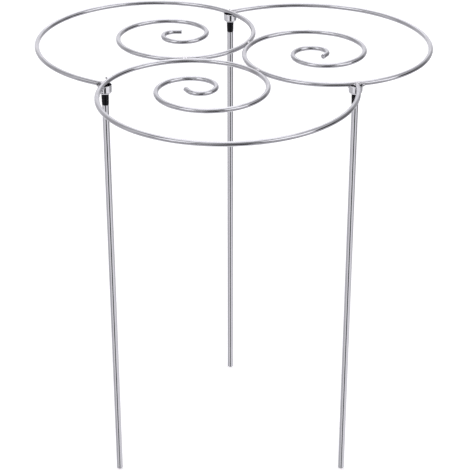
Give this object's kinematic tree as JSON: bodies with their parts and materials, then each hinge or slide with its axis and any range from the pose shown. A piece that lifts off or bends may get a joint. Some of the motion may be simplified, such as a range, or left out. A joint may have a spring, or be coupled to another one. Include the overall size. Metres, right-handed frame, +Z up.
{
  "type": "spiral plant support",
  "caption": "Flat ring of joined wire spirals carried on plug-in tubular legs; it stands over a growing plant, and its stems come up through the gaps.",
  "frame": {"origin": "on the ground, under the middle of the whole support", "axes": "+Z up along the legs, +Y away from the side seen in the picture, +X to its right"},
  "size_m": [0.5029, 0.4828, 0.556],
  "materials": {
    "wire": "drawn steel wire, satin",
    "cup": "polished pressed steel",
    "tube": "bright steel tube",
    "plug": "black moulded plastic"
  },
  "bodies": {
    "ring": {"spiral_front": "wire", "spiral_right": "wire", "spiral_left": "wire", "cup_right": "cup", "cup_back": "cup", "cup_left": "cup", "plug_right": "plug", "plug_back": "plug", "plug_left": "plug"},
    "right leg": {"leg_right": "tube"},
    "back leg": {"leg_back": "tube"},
    "left leg": {"leg_left": "tube"}
  },
  "joints": [
    {"name": "leg_right_pull_off", "type": "slide", "parent": "ring", "child": "right leg", "axis": [0, 0, -1], "range_m": [0, 0.035]},
    {"name": "leg_back_pull_off", "type": "slide", "parent": "ring", "child": "back leg", "axis": [0, 0, -1], "range_m": [0, 0.035]},
    {"name": "leg_left_pull_off", "type": "slide", "parent": "ring", "child": "left leg", "axis": [0, 0, -1], "range_m": [0, 0.035]}
  ]
}
